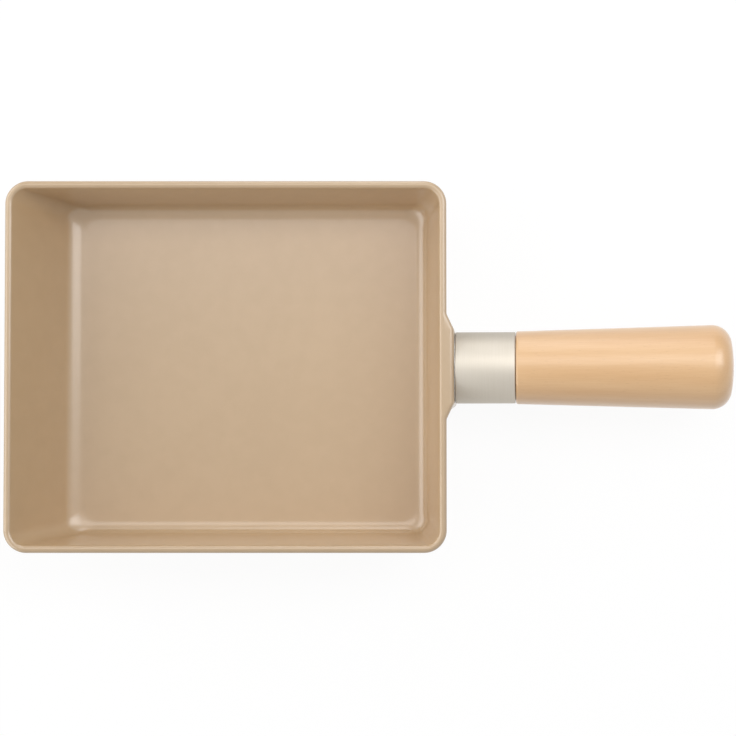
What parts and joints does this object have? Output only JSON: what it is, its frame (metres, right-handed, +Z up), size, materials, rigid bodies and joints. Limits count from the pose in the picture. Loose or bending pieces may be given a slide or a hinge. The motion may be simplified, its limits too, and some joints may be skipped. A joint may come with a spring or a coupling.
{
  "type": "omelette pan",
  "caption": "Rectangular coated omelette pan with one long sloped wall, a steel plate under its base, and a turned wooden grip that a tie bolt holds through a metal ferrule.",
  "frame": {"origin": "middle of the steel plate's underside, on the hob", "axes": "+X along the handle, away from the pan; +Z up, out of the pan's mouth; the long sloped wall faces -X"},
  "size_m": [0.2978, 0.1514, 0.047],
  "materials": {
    "coated_casting": "satin",
    "plate_steel": "satin",
    "satin_ferrule": "satin",
    "beech": "satin",
    "zinc_steel": "satin"
  },
  "bodies": {
    "root": {"pan_body": "coated_casting", "induction_plate": "plate_steel", "ferrule": "satin_ferrule", "grip": "beech", "tie_bolt": "zinc_steel", "flat_washer": "zinc_steel", "lock_washer": "zinc_steel", "end_plug": "beech"}
  },
  "joints": []
}
